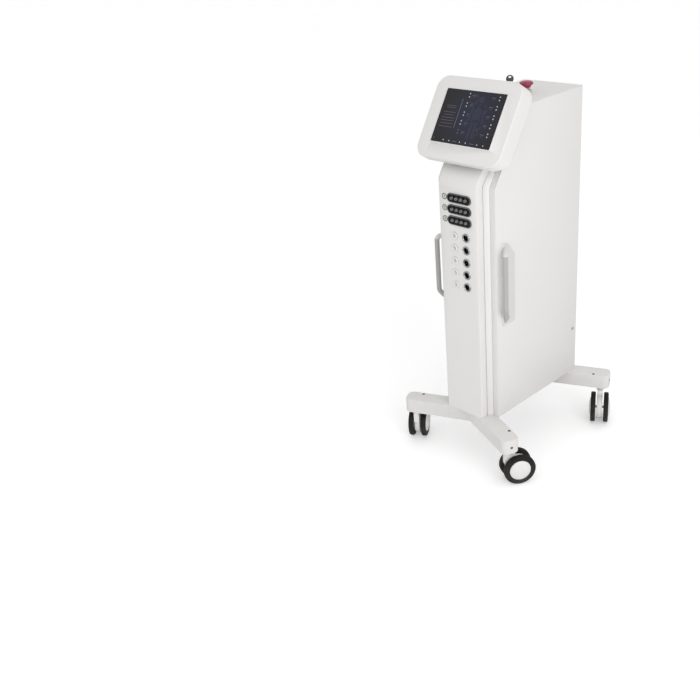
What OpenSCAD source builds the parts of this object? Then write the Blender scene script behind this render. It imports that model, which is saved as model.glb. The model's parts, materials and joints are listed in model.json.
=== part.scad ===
// Compression therapy pump: a floor-standing tower on four twin-wheel casters.
// A tilted touch-screen head stands over a narrow, deep column. The column's
// front carries three air sockets, five infrared sockets and five stimulation
// sockets, and its inside holds the air pump, the valves and the electronics.
// Millimetres, +Z up, X to the right, Y to the back. The origin is on the
// floor, under the middle of the base.

/* [Column] */
// Width across the two side panels
col_w = 208; // [190:1:230]
// Depth from the front corner strips to the back of the rear panel
col_d = 402; // [380:1:420]
// Height of the column's underside above the floor
col_z = 164; // [160:1:175]
// Height of the top panel above the floor
top_z = 1097; // [1090:1:1110]
// Thickness of the folded sheet panels
sheet_t = 2; // [1.5:0.5:3]

/* [Front fascia] */
// Width of the flat front face that carries the sockets
fascia_w = 138; // [130:1:144]
// How far the fascia stands out from the front corner strips
fascia_out = 38; // [34:1:42]
// Width of one front corner strip
strip_w = 20; // [16:1:22]
// Wall thickness of the moulded fascia
fascia_t = 3; // [2:0.5:4]
// Height at which the front bends backwards to the head
bend_z = 910; // [900:1:915]
// Backward run of the front between the bend and the neck
neck_run = 32; // [28:1:36]
// Rise of the front between the bend and the neck
neck_rise = 39; // [34:1:44]

/* [Head] */
// Width of the screen head
head_w = 298; // [280:1:310]
// Height of the screen head along its slope
head_h = 237; // [228:1:242]
// Thickness of the screen head
head_t = 58; // [50:1:60]
// Corner radius of the head's outline
head_r = 38; // [30:1:45]
// Backward tilt of the screen from vertical, in degrees
head_tilt = 32.7; // [30:0.1:35]
// Height of the head's lower front edge above the floor
head_z = 971; // [968:1:975]
// Width of the display glass
glass_w = 211; // [200:1:214]
// Height of the display glass
glass_h = 153; // [145:1:158]

/* [Sockets] */
// Height of the upper air socket
air_z = 862; // [855:1:870]
// Distance between air sockets
air_pitch = 33; // [31:0.5:36]
// Height of the upper infrared socket
jack_z = 750.5; // [745:0.5:755]
// Distance between the infrared sockets, and between the stimulation sockets
jack_pitch = 38.1; // [34:0.1:39]

/* [Base] */
// Diameter of a caster wheel
wheel_d = 100; // [96:1:100]
// Width of a leg beam
beam_w = 56; // [50:1:60]
// Height of a leg beam's underside above the floor
beam_z = 118; // [116:1:122]
// Length of one leg from the middle of the beam to its tip
arm_len = 233; // [225:1:245]
// Angle of the legs from straight across, in degrees
arm_angle = 23; // [18:1:28]
// Distance from the middle of a beam to a caster's swivel, along the leg
swivel_at = 204; // [195:1:210]
// Distance from the base's middle to the middle of a beam
beam_y = 168; // [160:1:174]
// Offset of a caster's axle from its swivel
trail = 32; // [28:1:34]
// Angle of the casters' trail from straight across, in degrees
trail_angle = 58; // [0:1:60]

/* [Handles] */
// Diameter of the grip bar
grip_d = 15; // [14:1:18]
// Height of the middle of the handles
grip_z = 619.5; // [600:0.5:640]
// Length of the straight part of the grip
grip_len = 174; // [150:1:190]
// Distance from a side panel to the middle of the grip bar
grip_out = 25.5; // [24:0.5:30]

/* [Hidden] */
$fn = 64;

// Colours, as they look on the machine
white = [0.92, 0.92, 0.91];
bright_white = [0.96, 0.96, 0.95];
light_grey = [0.72, 0.72, 0.71];
mid_grey = [0.5, 0.5, 0.5];
black = [0.08, 0.08, 0.085];
dark_glass = [0.16, 0.17, 0.2];
metal = [0.78, 0.78, 0.8];
red = [0.78, 0.08, 0.1];
board_green = [0.1, 0.35, 0.22];
rubber_black = [0.05, 0.05, 0.05];

// Column
eps = 0.01;
front_y = -(col_d + fascia_out) / 2;
corner_y = front_y + fascia_out;
back_y = corner_y + col_d;
half_w = col_w / 2;
inner_w = col_w - 2 * sheet_t;
lean = atan2(neck_run, neck_rise);
bend_r = 50;
neck_z = bend_z + neck_rise;
roof_z = top_z - sheet_t;
side_bend_z = bend_z - fascia_out * tan(lean / 2);
neck_y = corner_y + (neck_z - side_bend_z) * tan(head_tilt);
slope_top_y = corner_y + (roof_z - side_bend_z) * tan(head_tilt);

// Head: local x across, y up the slope, z out of the screen
bezel_t = 5;
rear_round = 10;
chamfer_v = 38;
chamfer_tilt = -36;
head_y = front_y - 12;
screen_v = 123.8;
neck_dy = neck_y - head_y;
neck_dz = neck_z - head_z;
slope_w = -neck_dy * cos(head_tilt) + neck_dz * sin(head_tilt);
bracket_w = 130;
bracket_h = 130;
bracket_v = 118;

// Sockets
air_x = 5.5;
air_count = 3;
nozzle_count = 4;
nozzle_pitch = 16.8;
plate_w = 87;
plate_h = 27;
badge_x = -48.5;
badge_r = 9.5;
jack_count = 5;
infrared_x = 27;
stimulation_x = -14.7;
manifold_y = front_y + 56;
manifold_d = 34;
shelf_z = 772;
lower_shelf_z = 422;
hose_x = 40;
hose_y = front_y + 73;
hose_low_z = 280;
elbow_r = 25;

// Base
wheel_r = wheel_d / 2;
wheel_w = 15.5;
wheel_gap = 26;
fork_w = 17;
cap_w = 5.5;
axle_r = 4;
stem_r = 5.5;
fit_gap = 0.05;
beam_h = col_z - beam_z;
beam_t = 4;
tip_r = 18;

// Switches on the top panel
key_x = -42;
key_y = front_y + 291;
estop_x = 16;
estop_y = front_y + 291;
estop_travel = 4.5;

// Rear panel
inlet_x = -42;
rocker_x = 22;
rear_row_z = 232;
rear_seam_z = 270;
fan_z = 985;
fan_size = 92;
rocker_tilt = 9;

// Handle
pad_y = front_y + 62;
pad_d = 56;
pad_t = 4;
grip_y = front_y + 47;

// ---------- shared shapes ----------

// A slab with the outline given as [y, z] points, from x0 to x1
module yz_block(points, x0, x1) {
    translate([x0, 0, 0]) rotate([90, 0, 90]) linear_extrude(x1 - x0) polygon(points);
}

module rounded_rect(w, h, r) {
    square([w - 2 * r, h], center = true);
    square([w, h - 2 * r], center = true);
    for (sx = [-1, 1], sy = [-1, 1])
        translate([sx * (w / 2 - r), sy * (h / 2 - r)]) circle(r);
}

module stadium(w, h) {
    square([w - h, h], center = true);
    for (s = [-1, 1]) translate([s * (w - h) / 2, 0]) circle(h / 2);
}

module tube(outer_r, inner_r, h) {
    difference() {
        cylinder(r = outer_r, h = h);
        translate([0, 0, -1]) cylinder(r = inner_r, h = h + 2);
    }
}

// Local z points out of the front of the fascia
module on_front(x, z) {
    translate([x, front_y, z]) rotate([90, 0, 0]) children();
}

// Local z points out of the rear panel, local y down
module on_back(x, z) {
    translate([x, back_y, z]) rotate([-90, 0, 0]) children();
}

module on_head() {
    translate([0, head_y, head_z]) rotate([90 - head_tilt, 0, 0]) children();
}

module each_air_row() {
    for (i = [0 : air_count - 1]) on_front(air_x, air_z - i * air_pitch) children();
}

module each_nozzle() {
    each_air_row()
        for (n = [0 : nozzle_count - 1])
            translate([(n - (nozzle_count - 1) / 2) * nozzle_pitch, 0, 0]) children();
}

module each_jack(x) {
    for (i = [0 : jack_count - 1]) on_front(x, jack_z - i * jack_pitch) children();
}

// ---------- base ----------

// A point at a distance along the right arm, and to one side of its middle
function on_arm(along, side) = [
    along * cos(arm_angle) - side * sin(arm_angle), along * sin(arm_angle) + side * cos(arm_angle)
];

// Both arms of a leg beam seen from above, with rounded tips
module beam_outline(w, len) {
    straight = len - tip_r;
    right = [on_arm(straight, w / 2), on_arm(straight, -w / 2)];
    polygon([
        [0, w / 2 / cos(arm_angle)], right[0], right[1], [0, -w / 2 / cos(arm_angle)],
        [-right[1][0], right[1][1]], [-right[0][0], right[0][1]]
    ]);
    for (s = [0, 1]) mirror([s, 0]) rotate(arm_angle) translate([straight, 0]) {
        square([2 * tip_r, w - 2 * tip_r], center = true);
        for (t = [-1, 1]) translate([0, t * (w / 2 - tip_r)]) circle(tip_r);
    }
}

// A V-shaped beam, open below, with a boss for each caster stem
module leg_beam() {
    boss_top = beam_h - beam_t / 2;
    color(white) difference() {
        union() {
            difference() {
                translate([0, beam_y, beam_z]) linear_extrude(beam_h) beam_outline(beam_w, arm_len);
                translate([0, beam_y, beam_z - 1])
                    linear_extrude(beam_h - beam_t + 1) beam_outline(beam_w - 2 * beam_t, arm_len - beam_t);
            }
            for (s = [0, 1]) mirror([s, 0, 0]) at_swivel_point()
                translate([0, 0, beam_z + 1]) cylinder(r = 15, h = boss_top - 1);
        }
        for (s = [0, 1]) mirror([s, 0, 0]) at_swivel_point()
            translate([0, 0, beam_z - 1]) cylinder(r = stem_r + fit_gap, h = 39);
    }
}

module at_swivel_point() {
    translate([swivel_at * cos(arm_angle), beam_y + swivel_at * sin(arm_angle), 0]) children();
}

module rear_leg_beam() { leg_beam(); }

module front_leg_beam() { mirror([0, 1, 0]) leg_beam(); }

// Two square tubes under the floor tray, cut to meet the V of each beam
module base_rails() {
    rail = 30;
    color(mid_grey) difference() {
        for (s = [-1, 1])
            translate([s * 50, 0, col_z - rail / 2]) rotate([90, 0, 0])
                linear_extrude(2 * beam_y, center = true) difference() {
                    square(rail, center = true);
                    square(rail - 4, center = true);
                }
        for (s = [0, 1]) mirror([0, s, 0]) translate([0, beam_y, beam_z])
            linear_extrude(beam_h + 1) beam_outline(beam_w, arm_len);
    }
}

// A screw on top of each leg and one in its tip, and bolts through the tray
module leg_bolts() {
    color(mid_grey) for (sx = [0, 1], sy = [0, 1]) mirror([sx, 0, 0]) mirror([0, sy, 0]) {
        translate([0, beam_y, 0]) rotate(arm_angle) {
            translate([swivel_at - 21, -19, col_z]) cylinder(r1 = 4.6, r2 = 3.6, h = 1);
            translate([arm_len, 0, col_z - 26]) rotate([0, 90, 0])
                cylinder(r1 = 4.2, r2 = 3.2, h = 1);
        }
        translate([60, beam_y, col_z + sheet_t]) {
            cylinder(r = 6.5, h = 5.5);
            translate([0, 0, 5.5]) cylinder(r1 = 6.5, r2 = 5.8, h = 0.8);
        }
    }
}

module floor_tray() {
    lip = 25;
    tray_y0 = corner_y + sheet_t;
    tray_d = col_d - 2 * sheet_t;
    color(white) {
        translate([-inner_w / 2, tray_y0, col_z]) cube([inner_w, tray_d, sheet_t]);
        translate([-fascia_w / 2 + fascia_t, front_y + fascia_t, col_z])
            cube([fascia_w - 2 * fascia_t, tray_y0 - front_y - fascia_t + eps, sheet_t]);
        for (s = [-1, 1]) translate([s * (inner_w - sheet_t) / 2, back_y - sheet_t - tray_d / 2, col_z])
            translate([-sheet_t / 2, -tray_d / 2, 0]) cube([sheet_t, tray_d, lip]);
    }
}

// ---------- casters ----------
// Local x points from the swivel to the axle, local y along the axle.

module at_caster(sx, sy) {
    turn = sx > 0 ? -sy * trail_angle : 180 + sy * trail_angle;
    translate([sx * swivel_at * cos(arm_angle), sy * (beam_y + swivel_at * sin(arm_angle)), 0])
        rotate(turn) children();
}

module along_axle() {
    translate([trail, 0, wheel_r]) rotate([90, 0, 0]) children();
}

// Stem, collar and the web that carries the axle between the two wheels
module caster_fork(sx, sy) {
    collar_z = wheel_d + 4;
    color(bright_white) at_caster(sx, sy) difference() {
        union() {
            translate([0, 0, collar_z]) cylinder(r = stem_r, h = beam_z + 32 - collar_z);
            translate([0, 0, collar_z - 3]) cylinder(r = 12, h = beam_z - collar_z + 2);
            translate([-11, -fork_w / 2, 68]) cube([34, fork_w, collar_z - 66]);
            along_axle() cylinder(r = 38, h = fork_w, center = true, $fn = 96);
        }
        along_axle() cylinder(r = axle_r + 0.02, h = fork_w + 2, center = true);
    }
}

// Steel axle pressed into the web, with a free end in each wheel
module caster_axle(sx, sy) {
    color(metal) at_caster(sx, sy) along_axle() {
        cylinder(r = axle_r, h = wheel_gap + 2 * wheel_w - 8, center = true);
    }
}

// Wheel with a tyre, a blind bore and a domed cap, turned about the axle
module wheel(sx, sy, side) {
    bore_r = axle_r + fit_gap;
    inner = wheel_gap / 2;
    outer = inner + wheel_w;
    cap_r = 32;
    color(rubber_black) at_caster(sx, sy) translate([trail, 0, wheel_r])
        rotate([side * -90, 0, 0]) rotate_extrude($fn = 96) polygon([
            [bore_r, inner], [wheel_r - 4, inner], [wheel_r - 1.2, inner + 1],
            [wheel_r, inner + 4], [wheel_r, outer - 4], [wheel_r - 1.2, outer - 1],
            [wheel_r - 4, outer], [cap_r + 3, outer], [cap_r + 1, outer - 1.5],
            [cap_r, outer + 0.5], [cap_r - 3, outer + 2.2], [cap_r - 9, outer + 4],
            [cap_r - 17, outer + 5], [cap_r - 24, outer + cap_w], [0, outer + cap_w],
            [0, outer - 3], [bore_r, outer - 3]
        ]);
}

module caster_fork_front_left() { caster_fork(-1, -1); }
module caster_fork_front_right() { caster_fork(1, -1); }
module caster_fork_rear_left() { caster_fork(-1, 1); }
module caster_fork_rear_right() { caster_fork(1, 1); }
module caster_axle_front_left() { caster_axle(-1, -1); }
module caster_axle_front_right() { caster_axle(1, -1); }
module caster_axle_rear_left() { caster_axle(-1, 1); }
module caster_axle_rear_right() { caster_axle(1, 1); }
module wheel_front_left_a() { wheel(-1, -1, 1); }
module wheel_front_left_b() { wheel(-1, -1, -1); }
module wheel_front_right_a() { wheel(1, -1, 1); }
module wheel_front_right_b() { wheel(1, -1, -1); }
module wheel_rear_left_a() { wheel(-1, 1, 1); }
module wheel_rear_left_b() { wheel(-1, 1, -1); }
module wheel_rear_right_a() { wheel(1, 1, 1); }
module wheel_rear_right_b() { wheel(1, 1, -1); }

// ---------- column ----------

// Sheet side with a folded strip on its front edge
module side_panel_right() {
    outline = [
        [corner_y, col_z], [corner_y, side_bend_z], [slope_top_y, roof_z],
        [back_y, roof_z], [back_y, col_z]
    ];
    strip = [
        [corner_y, col_z], [corner_y, side_bend_z], [neck_y, neck_z],
        [neck_y + 2.4, neck_z], [corner_y + sheet_t, side_bend_z - 0.6], [corner_y + sheet_t, col_z]
    ];
    color(white) {
        yz_block(outline, half_w - sheet_t, half_w);
        yz_block(strip, half_w - strip_w, half_w - sheet_t + eps);
    }
}

module side_panel_left() { mirror([1, 0, 0]) side_panel_right(); }

module top_panel() {
    color(white) difference() {
        translate([-half_w, slope_top_y, roof_z])
            cube([col_w, back_y - slope_top_y, sheet_t]);
        translate([key_x, key_y, roof_z - 1]) cylinder(r = 9.6, h = sheet_t + 2);
        translate([estop_x, estop_y, roof_z - 1]) cylinder(r = 11.2, h = sheet_t + 2);
    }
}

// Rear sheet with the fan's ring slots, a lower vent and the mains cut-outs
module rear_panel() {
    color(white) difference() {
        for (z = [[col_z, rear_seam_z], [rear_seam_z + 0.4, roof_z]])
            translate([-inner_w / 2, back_y - sheet_t, z[0]]) cube([inner_w, sheet_t, z[1] - z[0]]);
        on_back(0, fan_z) for (r = [12 : 8 : 36]) difference() {
            translate([0, 0, -5]) tube(r + 5, r, 10);
            for (a = [45, 135]) rotate(a) cube([100, 5, 20], center = true);
        }
        for (i = [0 : 6]) on_back(0, 330 + i * 14) translate([0, 0, -5])
            linear_extrude(10) stadium(130, 5);
        on_back(inlet_x, rear_row_z) cube([28.4, 20.4, 20], center = true);
        on_back(rocker_x, rear_row_z) cube([20.4, 28.4, 20], center = true);
    }
}

// The sloping sheet behind the head
module upper_front_panel() {
    color(white) yz_block([
        [neck_y, neck_z], [slope_top_y, roof_z],
        [slope_top_y + 2.4, roof_z], [neck_y + 2.4, neck_z]
    ], -inner_w / 2, inner_w / 2);
}

// Side view of all that lies behind the fascia's face, set back by an inset.
// The bend is a true arc between the vertical face and the leaning one.
module behind_face(inset, z0, z1) {
    r = bend_r - inset;
    centre = [front_y + bend_r, bend_z - bend_r * tan(lean / 2)];
    low = [front_y + inset, centre[1]];
    corner = [front_y + inset, centre[1] + r * tan(lean / 2)];
    high = centre + r * [-cos(lean), sin(lean)];
    top_y = high[0] + (z1 - high[1]) * tan(lean);
    polygon([
        [front_y + inset, z0], low, high, [top_y, z1], [front_y + 100, z1], [front_y + 100, z0]
    ]);
    intersection() {
        translate(centre) circle(r, $fn = 96);
        polygon([low, corner, high]);
    }
}

// Moulded front box that carries the sockets and leans back to the neck
module front_fascia() {
    t = fascia_t;
    back_line = [
        [corner_y, col_z - 2], [corner_y, side_bend_z],
        [neck_y + tan(head_tilt), neck_z + 1], [front_y + 120, neck_z + 1], [front_y + 120, col_z - 2]
    ];
    color(white) difference() {
        translate([-fascia_w / 2, 0, 0]) rotate([90, 0, 90]) linear_extrude(fascia_w)
            difference() {
                behind_face(0, col_z, neck_z);
                polygon(back_line);
            }
        translate([-fascia_w / 2 + t, 0, 0]) rotate([90, 0, 90]) linear_extrude(fascia_w - 2 * t)
            behind_face(t, col_z - 1, neck_z - t);
        each_air_row() translate([0, 0, -9]) linear_extrude(10) stadium(plate_w - 7.6, plate_h - 7.6);
        each_jack(infrared_x) translate([0, 0, -9]) cylinder(r = 10.9, h = 10);
        each_jack(stimulation_x) translate([0, 0, -9]) cylinder(r = 7.2, h = 10);
    }
}

// The four corners of a trim at one height, its front edge at y0 and its back
// edge at y1, with all but the front edge lowered by drop
function trim_level(y0, y1, z, drop) = let(
        x0 = fascia_w / 2 + 1,
        x1 = half_w - strip_w - 0.5
    ) [[x0, y0, z], [x1, y1, z - drop], [x1, y1 + 2, z - drop], [x0, y1 + 2, z - drop]];

// Flared trims between the fascia's sides and the corner strips
module fascia_trims() {
    flare_y = corner_y - 12;
    flare_z = bend_z - (fascia_out - 12) * tan(lean / 2);
    top_y = flare_y + (neck_z - flare_z) * tan(lean);
    corners = concat(
        trim_level(flare_y, corner_y, col_z, 0),
        trim_level(flare_y, corner_y, flare_z, flare_z - side_bend_z),
        trim_level(top_y, neck_y, neck_z, 0)
    );
    walls = [for (level = [0, 4], i = [0 : 3], half = [0, 1]) let(
            a = level + i,
            b = level + (i + 1) % 4
        ) half == 0 ? [a, a + 4, b + 4] : [a, b + 4, b]];
    color(white) for (s = [0, 1]) mirror([s, 0, 0])
        polyhedron(corners, concat([[0, 1, 2, 3], [11, 10, 9, 8]], walls));
}

// Rear-panel screws, and the dark fastener near each side panel's rear edge
module panel_screws() {
    screw_x = inner_w / 2 - 9;
    color(mid_grey) {
        for (s = [-1, 1], z = [190, 250, 335, 480, 625, 770, 915, 1060]) on_back(s * screw_x, z) {
            cylinder(r = 3.6, h = 1.2);
            translate([0, 0, 1.2]) cylinder(r1 = 3.6, r2 = 2.2, h = 0.8);
        }
        for (s = [-1, 1]) translate([s * half_w, back_y - 19, 320]) rotate([0, s * 90, 0]) {
            cylinder(r = 5.5, h = 1.4);
            translate([0, 0, 1.4]) cylinder(r1 = 5.5, r2 = 4.4, h = 0.8);
        }
    }
}

// ---------- head ----------

// Welded box that holds the head off the column's sloping sheet
module head_bracket() {
    flange_t = 3;
    color(mid_grey) on_head() translate([0, bracket_v, slope_w]) {
        span = -slope_w - head_t;
        difference() {
            union() {
                linear_extrude(span) rounded_rect(bracket_w - 24, bracket_h - 24, 6);
                linear_extrude(flange_t) rounded_rect(bracket_w, bracket_h, 8);
                translate([0, 0, span - flange_t])
                    linear_extrude(flange_t) rounded_rect(bracket_w, bracket_h, 8);
            }
            translate([0, 0, -1]) linear_extrude(span + 2)
                rounded_rect(bracket_w - 30, bracket_h - 30, 4);
        }
    }
}

// A rounded slab standing on z = 0, with its lower edge rounded all the way round
module soft_slab(w, h, r, q, depth) {
    translate([0, 0, q]) linear_extrude(depth - q) rounded_rect(w, h, r);
    linear_extrude(q + 1) rounded_rect(w - 2 * q, h - 2 * q, r - q);
    for (sx = [-1, 1], sy = [-1, 1])
        translate([sx * (w / 2 - r), sy * (h / 2 - r), q])
            rotate_extrude($fn = 96) translate([r - q, 0]) circle(q);
    for (s = [-1, 1]) {
        translate([0, s * (h / 2 - q), q]) rotate([0, 90, 0])
            cylinder(r = q, h = w - 2 * r, center = true);
        translate([s * (w / 2 - q), 0, q]) rotate([90, 0, 0])
            cylinder(r = q, h = h - 2 * r, center = true);
    }
}

// All that lies behind the head's chamfer, which clears the neck, less a wall
module behind_chamfer(wall) {
    translate([0, chamfer_v, -head_t]) rotate([chamfer_tilt, 0, 0])
        translate([-head_w, -head_h, -head_t + wall]) cube([2 * head_w, 2 * head_h, head_t]);
}

// Rear tub of the head, with a rounded back edge and its lower back edge cut off
module head_shell() {
    wall = 3;
    color(bright_white) on_head() difference() {
        translate([0, head_h / 2, -head_t])
            soft_slab(head_w, head_h, head_r, rear_round, head_t - bezel_t);
        behind_chamfer(0);
        difference() {
            translate([0, head_h / 2, -head_t + wall]) linear_extrude(head_t)
                rounded_rect(head_w - 2 * rear_round, head_h - 2 * rear_round, head_r - rear_round);
            behind_chamfer(wall);
        }
        translate([0, bracket_v, -head_t - 1]) cylinder(r = 20, h = wall + 2);
    }
}

// Front frame with a thin raised rim round the glass
module screen_bezel() {
    rim = 2;
    gap = 0.3;
    color(white) on_head() difference() {
        union() {
            translate([0, head_h / 2, -bezel_t])
                linear_extrude(bezel_t) rounded_rect(head_w, head_h, head_r);
            translate([0, screen_v, -1])
                linear_extrude(2) rounded_rect(glass_w + 2 * rim, glass_h + 2 * rim, 5);
        }
        translate([0, screen_v, -bezel_t - 1])
            linear_extrude(bezel_t + 3) rounded_rect(glass_w + gap, glass_h + gap, 3);
    }
}

module display_glass() {
    color(dark_glass) on_head() translate([0, screen_v, -bezel_t])
        linear_extrude(bezel_t - 0.3) rounded_rect(glass_w, glass_h, 3);
}

module display_module() {
    back = -bezel_t - 8;
    post = head_t - 3 + back;
    color(metal) on_head() translate([0, screen_v, back]) {
        linear_extrude(8) rounded_rect(glass_w + 14, glass_h + 12, 4);
        for (sx = [-1, 1], sy = [-1, 1])
            translate([sx * glass_w / 2, sy * glass_h / 2, -post]) cylinder(r = 4, h = post + eps);
    }
}

// Screen controller in the head and driver board on the upper shelf
module circuit_boards() {
    color(board_green) {
        on_head() translate([0, screen_v, -24]) {
            translate([-75, -45, 0]) cube([150, 90, 1.6]);
            for (i = [-1 : 1]) translate([i * 42 - 10, -12, 1.5]) cube([20, 20, 3]);
            for (sx = [-1, 1], sy = [-1, 1])
                translate([sx * 70, sy * 40, 1.5]) cylinder(r = 3, h = 9.5);
        }
        translate([0, front_y + 270, shelf_z + 10]) {
            translate([-70, -90, 0]) cube([140, 180, 1.6]);
            for (i = [0 : 5]) translate([-55 + i * 20, 40, 1.5]) cylinder(r = 6, h = 18);
            for (i = [0 : 2]) translate([-52 + i * 38, -60, 1.5]) cube([22, 30, 8]);
            for (sx = [-1, 1], sy = [-1, 1])
                translate([sx * 64, sy * 84, -8]) cylinder(r = 3.5, h = 8 + eps);
        }
    }
}

// ---------- sockets ----------

// Long plates with a raised rim round four nozzles
module air_socket_plates() {
    color(black) each_air_row() difference() {
        union() {
            linear_extrude(3) stadium(plate_w, plate_h);
            translate([0, 0, -14]) linear_extrude(14 + eps) stadium(plate_w - 8, plate_h - 8);
        }
        translate([0, 0, 1]) linear_extrude(3) stadium(plate_w - 5, plate_h - 5);
        for (n = [0 : nozzle_count - 1])
            translate([(n - (nozzle_count - 1) / 2) * nozzle_pitch, 0, -15])
                cylinder(r = 5.05, h = 20);
    }
}

// Air outlets: a spigot in front, a hose tail behind
module air_nozzles() {
    color(light_grey) each_nozzle() difference() {
        union() {
            translate([0, 0, 1]) cylinder(r = 4, h = 6);
            translate([0, 0, -14]) cylinder(r = 5, h = 15);
            translate([0, 0, -34]) cylinder(r = 2.9, h = 20 + eps);
        }
        translate([0, 0, -35]) cylinder(r = 1.9, h = 43);
    }
}

// Thin round badges beside the air sockets
module number_badges() {
    color(mid_grey) for (i = [0 : air_count - 1])
        on_front(badge_x, air_z - i * air_pitch) cylinder(r = badge_r, h = 0.8);
}

// Bright flange of each infrared socket
module infrared_rings() {
    color(metal) each_jack(infrared_x) difference() {
        union() {
            cylinder(r = 13.5, h = 1.4);
            translate([0, 0, 1.4]) cylinder(r1 = 13.5, r2 = 12.3, h = 1);
        }
        translate([0, 0, -1]) cylinder(r = 10.8, h = 5);
    }
}

// Black insert with a blind plug bore and five pin holes in its floor
module infrared_cores() {
    color(black) each_jack(infrared_x) difference() {
        translate([0, 0, -22]) cylinder(r = 10.7, h = 24);
        translate([0, 0, -9]) cylinder(r = 8.5, h = 12);
        for (a = [0 : 72 : 359]) rotate(a) translate([5, 0, -14]) cylinder(r = 1, h = 6, $fn = 24);
    }
}

// White raised caps with a small plug hole
module stimulation_sockets() {
    color(bright_white) each_jack(stimulation_x) difference() {
        union() {
            cylinder(r = 10.2, h = 3);
            translate([0, 0, 3]) cylinder(r1 = 10.2, r2 = 8.4, h = 1.8);
            translate([0, 0, -16]) cylinder(r = 7, h = 16 + eps);
        }
        translate([0, 0, 3.2]) cylinder(r = 6.6, h = 3);
        translate([0, 0, -10]) cylinder(r = 2, h = 20, $fn = 48);
    }
}

// ---------- handles ----------

// Pad on the side panel, two arms and a round grip in front of the pad
module handle_right() {
    grip_top = grip_z + grip_len / 2;
    grip_low = grip_z - grip_len / 2;
    pad_top = grip_top + 24;
    pad_low = grip_low - 63;
    grip_x = half_w + grip_out;
    back = pad_y + pad_d;
    pad = [
        [pad_y, pad_low], [back - 6, pad_low], [back, pad_low + 6],
        [back, pad_top - 45], [back - 27, pad_top - 12], [pad_y + 8, pad_top], [pad_y, pad_top]
    ];
    color(light_grey) {
        yz_block(pad, half_w, half_w + pad_t);
        translate([grip_x, grip_y, grip_low]) cylinder(r = grip_d / 2, h = grip_len);
        for (end = [[grip_top, pad_top - 14], [grip_low, pad_low + 14]]) hull($fn = 32) {
            translate([grip_x, grip_y, end[0]]) sphere(r = grip_d / 2);
            translate([half_w + pad_t / 2, pad_y + 19, end[1]]) cube([pad_t, 30, 18], center = true);
        }
    }
}

module handle_left() { mirror([1, 0, 0]) handle_right(); }

// ---------- switches on the top panel ----------

module key_switch() {
    color(metal) translate([key_x, key_y, top_z]) difference() {
        union() {
            cylinder(r = 11, h = 3);
            translate([0, 0, 3]) cylinder(r1 = 11, r2 = 9.5, h = 1.5);
            translate([0, 0, -30]) cylinder(r = 9.5, h = 30 + eps);
        }
        translate([0, 0, -20]) cylinder(r = 6 + fit_gap, h = 30);
    }
}

// Turning plug with the key in it
module key() {
    bow_z = 34.5;
    color(black) translate([key_x, key_y, top_z]) {
        translate([0, 0, -19.5]) cylinder(r = 6, h = 23.5);
        rotate(45) {
            translate([-4, -1.2, 4 - eps]) cube([8, 2.4, 24]);
            translate([0, 0, bow_z]) rotate([90, 0, 0]) linear_extrude(3.4, center = true)
                difference() {
                    union() {
                        circle(11);
                        translate([-8, -15]) square([16, 10]);
                    }
                    translate([0, 5]) stadium(8, 5);
                }
        }
    }
}

module estop_base() {
    color(mid_grey) translate([estop_x, estop_y, top_z]) difference() {
        union() {
            cylinder(r = 15, h = 8);
            translate([0, 0, 8]) cylinder(r1 = 15, r2 = 13.5, h = 1.5);
            translate([0, 0, -34]) cylinder(r = 11, h = 34 + eps);
        }
        translate([0, 0, -28]) cylinder(r = 7 + fit_gap, h = 40);
    }
}

module estop_plunger() {
    color(mid_grey) translate([estop_x, estop_y, top_z]) {
        translate([0, 0, -22]) cylinder(r = 7, h = 39);
        translate([0, 0, 17 - eps]) cylinder(r = 4, h = 9);
    }
}

// Red mushroom that turns on the plunger's spigot
module estop_head() {
    color(red) translate([estop_x, estop_y, top_z]) rotate_extrude($fn = 96) polygon([
        [9.5, 15], [12.5, 15], [13.5, 18], [15.5, 21.5], [19, 23.6], [20, 24.6], [20, 28],
        [19.2, 29.8], [17, 31.3], [13, 32.7], [7, 33.7], [0, 34],
        [0, 26.5], [4 + fit_gap, 26.5], [4 + fit_gap, 17.5], [9.5, 17.5]
    ]);
}

// ---------- rear panel fittings ----------

// Mains inlet with an open cavity and three flat pins
module power_inlet() {
    color(black) on_back(inlet_x, rear_row_z) {
        difference() {
            union() {
                linear_extrude(2.5) rounded_rect(50, 24, 4);
                translate([0, 0, -20]) linear_extrude(20 + eps) square([28, 20], center = true);
            }
            translate([0, 0, -16]) linear_extrude(20) rounded_rect(24.6, 16.6, 2);
            for (s = [-1, 1]) translate([s * 20, 0, -1]) cylinder(r = 1.7, h = 5);
        }
        for (p = [[-7, -2], [0, 2], [7, -2]])
            translate([p[0] - 1, p[1] - 2, -16 - eps]) cube([2, 4, 12]);
    }
}

module power_switch_frame() {
    color(black) on_back(rocker_x, rear_row_z) difference() {
        union() {
            linear_extrude(2) rounded_rect(24, 32, 2);
            translate([0, 0, -20]) linear_extrude(20 + eps) square([20, 28], center = true);
        }
        translate([0, 0, -14]) linear_extrude(20) square([16, 25.6], center = true);
        translate([0, 0, -5]) rotate([0, 90, 0]) cylinder(r = 1.5 + fit_gap, h = 19, center = true);
    }
}

// Rocker on two short pins, resting in the off position
module power_rocker() {
    color(red) on_back(rocker_x, rear_row_z) translate([0, 0, -5]) rotate([rocker_tilt, 0, 0]) {
        rotate([0, 90, 0]) cylinder(r = 1.5, h = 18.6, center = true);
        rotate([90, 0, 90]) linear_extrude(15.2, center = true)
            polygon([[-10.5, 6.5], [0, 5], [10.5, 6.5], [9.5, 0], [3, -4.5], [-3, -4.5], [-9.5, 0]]);
    }
}

// ---------- inside ----------

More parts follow.
